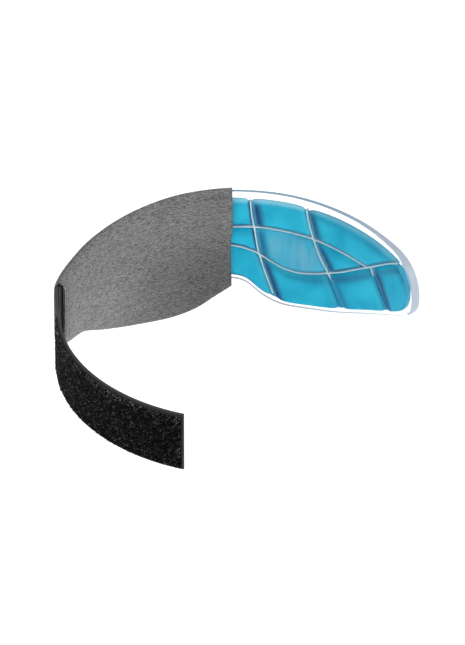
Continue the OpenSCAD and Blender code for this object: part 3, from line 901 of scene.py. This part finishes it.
def pile(l0, l1, z0, z1, n, count):
    """Small bent loops of fibre that stand on the tape."""
    l, z = rng.uniform(l0, l1, count), rng.uniform(z0, z1, count)
    turn, reach = rng.uniform(0, 2 * np.pi, count), rng.uniform(0.7, 1.7, count)
    tall, lean = rng.uniform(0.25, 0.8, count), rng.uniform(-0.5, 0.5, count)
    t = np.linspace(0, 1, 6)
    arch = np.sin(np.pi * t)
    along = (t - 0.5)[None] * reach[:, None] + lean[:, None] * arch[None]
    ls = np.round(l[:, None] + along * np.cos(turn)[:, None], 2)
    zs = z[:, None] + along * np.sin(turn)[:, None]
    path = strap_points(ls, n - 0.05 + tall[:, None] * arch[None], zs)
    ahead = np.gradient(path, axis=1)
    ahead /= np.linalg.norm(ahead, axis=2)[..., None]
    side = np.cross(ahead, np.array([0.3, 0.2, 0.93]))
    side /= np.linalg.norm(side, axis=2)[..., None]
    up = np.cross(side, ahead)
    radius = rng.uniform(0.06, 0.13, count)[:, None, None, None] / 1000
    angle = 2 * np.pi * np.arange(3) / 3
    c, s = np.cos(angle)[:, None], np.sin(angle)[:, None]
    points = path[:, :, None] + radius * (c * side[:, :, None] + s * up[:, :, None])
    one = grid_faces(len(t), len(angle), close_columns=True)
    size = len(t) * len(angle)
    faces = [tuple(i * size + k for k in f) for i in range(count) for f in one]
    edge = np.exp(-((z1 - z) / 2.5) ** 2)
    # each fibre's brightness: random tone, a little higher near the top edge, with the brightest fibres as
    # painted highlights
    shade = np.clip(rng.uniform(0, 1, count) ** 1.8 * (0.92 + 0.3 * edge), 0, 1)
    return points, faces, np.repeat(shade, size)


def stitches(rows, length, step, n, radius):
    """Rows of short stitches that arch over the tape."""
    parts = []
    for l0, l1, z in rows:
        for l in np.arange(l0, l1 - length, step):
            run = np.linspace(l, l + length, 5)
            rise = n + 0.25 * np.sin(np.pi * np.linspace(0, 1, 5)) - 0.1
            path = strap_points(run, rise, z)
            normals = strap_points(run, 1.0, z) - strap_points(run, 0.0, z)
            normals /= np.linalg.norm(normals, axis=1)[:, None]
            parts.append(round_tube(path, normals, radius / 1000, 5))
    return merged(parts)


WEB_BAND = (-0.7, 0.7, Z_LOW, Z_HIGH)
TAPE_Z = (Z_LOW + 1.2, Z_HIGH - 1.2)
TAPE_TOP, BED_TOP = 1.4, 1.6
PILE_LOW, PILE_START = TAPE_Z[0] + 0.3, 28.6
web_root = strap_strip("strap_web_near", -2.0, SPLIT, *WEB_BAND, WEB, "strap_web")
web_end = strap_strip("strap_web_far", SPLIT, STRAP_LENGTH, *WEB_BAND, WEB, "strap_web")
tape = strap_strip("loop_tape", 28.0, STRAP_LENGTH - 0.6, 0.72, TAPE_TOP, *TAPE_Z, SELVEDGE, "strap_loop")
bed = strap_strip("loop_bed", 28.8, STRAP_LENGTH - 1.0, 0.9, BED_TOP, PILE_LOW, TAPE_Z[1] - 1.1, LOOP,
                  "strap_loop")
points, faces, shade = pile(PILE_START, STRAP_LENGTH - 1.1, PILE_LOW, TAPE_Z[1] - 0.9, BED_TOP, 12000)
fuzz = make("loop_pile", points, faces, shade=shade)
fuzz.data.materials.append(PILE)
rows = [(29.5, STRAP_LENGTH - 2, TAPE_Z[1] - 0.5), (29.5, STRAP_LENGTH - 2, PILE_LOW)]
points, faces = stitches(rows, 2.6, 3.6, 1.5, 0.2)
tape_thread = make("tape_thread", points, faces)
tape_thread.data.materials.append(STRAP_THREAD)

swing_at = [Vector(strap_points(l, 0.0, (Z_LOW + Z_HIGH) / 2)) for l in SWING_ZONE]
curl_at = [Vector(strap_points(l, 0.0, (Z_LOW + Z_HIGH) / 2)) for l in CURL_ZONE]
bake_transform(web_root)
for piece in (web_end, tape, bed, fuzz, tape_thread):
    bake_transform(piece)
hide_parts("strap_web_root")
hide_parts("strap_web_end")
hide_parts("loop_tape_root", "loop_tape_end")
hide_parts("tape_stitches_root", "tape_stitches_end")


def seam_stitches():
    """Two rows of stitches on each side of the sleeve's end, which hold the strap's folded end."""
    parts = []
    arch = 0.12 * np.sin(np.linspace(0, np.pi, 5))
    for s in (-118.4, -116.0):
        top, low = height(SLEEVE_TOP, s), height(SLEEVE_LOW, s)
        for z in np.arange(-29.5, 4.0, 3.4):
            for way in (-1, 1):
                zs = np.linspace(z, z + 2.4, 5)
                v = (zs - (top + low) / 2) / (top - low) * 2
                n = MIDDLE + way * (sleeve_half(s, way) * np.sqrt(1 - np.abs(v) ** EDGE_POWER) + arch)
                path = wrap(s + 0 * zs, zs, n)
                parts.append(round_tube(path, np.tile(outward(s), (5, 1)), 0.00022, 5))
    points, faces = merged(parts)
    obj = make("seam_thread", points, faces)
    obj.data.materials.append(SEAM_THREAD)
    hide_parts("strap_seam_stitches")
    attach(obj, "mask")


seam_stitches()


def strap_anchor():
    """The strap's end, folded once and sewn in between the panels."""
    s = np.linspace(-121.3, -119.2, 6)
    z = np.linspace(Z_LOW + 0.6, Z_HIGH - 0.6, 30)
    lifts = {-1: [1.0, 1.6, 2.2, 2.6, 2.85, 2.9], 1: [1.0, 1.35, 1.5, 1.5, 1.3, 0.9]}
    grids = [wrap(s[:, None], z[None], MIDDLE + way * np.array(lift)[:, None] + 0 * z[None])
             for way, lift in lifts.items()]
    uv = np.stack(np.broadcast_arrays(s[:, None], z[None]), -1).reshape(-1, 2) / 1000
    shade = np.repeat(smooth((s + 120.9) / 0.7), len(z))  # painted shadow, dark where it goes into the sleeve
    obj = make("strap_anchor_fold", np.concatenate([g.reshape(-1, 3) for g in grids]),
               sheet_faces(len(s), len(z), False), uv=np.tile(uv, (2, 1)), shade=np.tile(shade, 2))
    obj.data.materials.append(WEB)
    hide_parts("strap_anchor")
    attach(obj, "mask")


strap_anchor()

# ---- camera, floor and lights ----
AZIMUTH, ELEVATION = math.radians(-3.5), math.radians(35)
DISTANCE = 6.0
VIEW_HEIGHT = 0.3675
FLOOR_Z = -0.30
right = Vector((math.cos(AZIMUTH), math.sin(AZIMUTH), 0))
ahead = Vector((-math.sin(AZIMUTH), math.cos(AZIMUTH), 0))
look = math.cos(ELEVATION) * ahead - Vector((0, 0, math.sin(ELEVATION)))
up = right.cross(look)
target = 0.00028 * right - 0.0516 * up
camera = bpy.data.objects.new("camera", bpy.data.cameras.new("camera"))
bpy.context.scene.collection.objects.link(camera)
camera.location = target - DISTANCE * look
camera.rotation_euler = look.to_track_quat("-Z", "Y").to_euler()
camera.data.sensor_fit = "VERTICAL"
camera.data.sensor_height = 24
camera.data.lens = camera.data.sensor_height * DISTANCE / VIEW_HEIGHT
camera.data.clip_end = 50
bpy.context.scene.camera = camera

floor_mat, tree, shader = material("floor", Roughness=0.9, Emission_Color=(1, 1, 1, 1), Emission_Strength=0.5)
tree.links.new(ramp(tree, body_noise(tree, 3, 1), [(0.3, (0.90, 0.90, 0.90)), (0.7, (0.92, 0.92, 0.92))]),
               shader.inputs["Base Color"])
corners = [(x, y, FLOOR_Z) for x, y in ((-6, -6), (6, -6), (6, 6), (-6, 6))]
floor = make("floor", corners, [(0, 1, 2, 3)])
floor.data.materials.append(floor_mat)


def area(name, place, size, power, aim=(0, -0.03, 0)):
    """A square studio light."""
    light = bpy.data.lights.new(name, "AREA")
    light.energy, light.size = power, size
    obj = bpy.data.objects.new(name, light)
    obj.location = place
    obj.rotation_euler = (Vector(aim) - Vector(place)).to_track_quat("-Z", "Y").to_euler()
    bpy.context.scene.collection.objects.link(obj)


area("key", (1.4, -0.5, 0.7), 0.8, 16)
area("fill", (-1.3, -1.1, 0.7), 1.2, 6)
area("top", (0.1, 0.1, 1.6), 0.8, 5)
world = bpy.data.worlds.new("studio")
world.use_nodes = True
world.node_tree.nodes["Background"].inputs["Color"].default_value = (0.97, 0.985, 1, 1)
world.node_tree.nodes["Background"].inputs["Strength"].default_value = 0.45
bpy.context.scene.world = world
bpy.context.scene.view_settings.view_transform = "Standard"
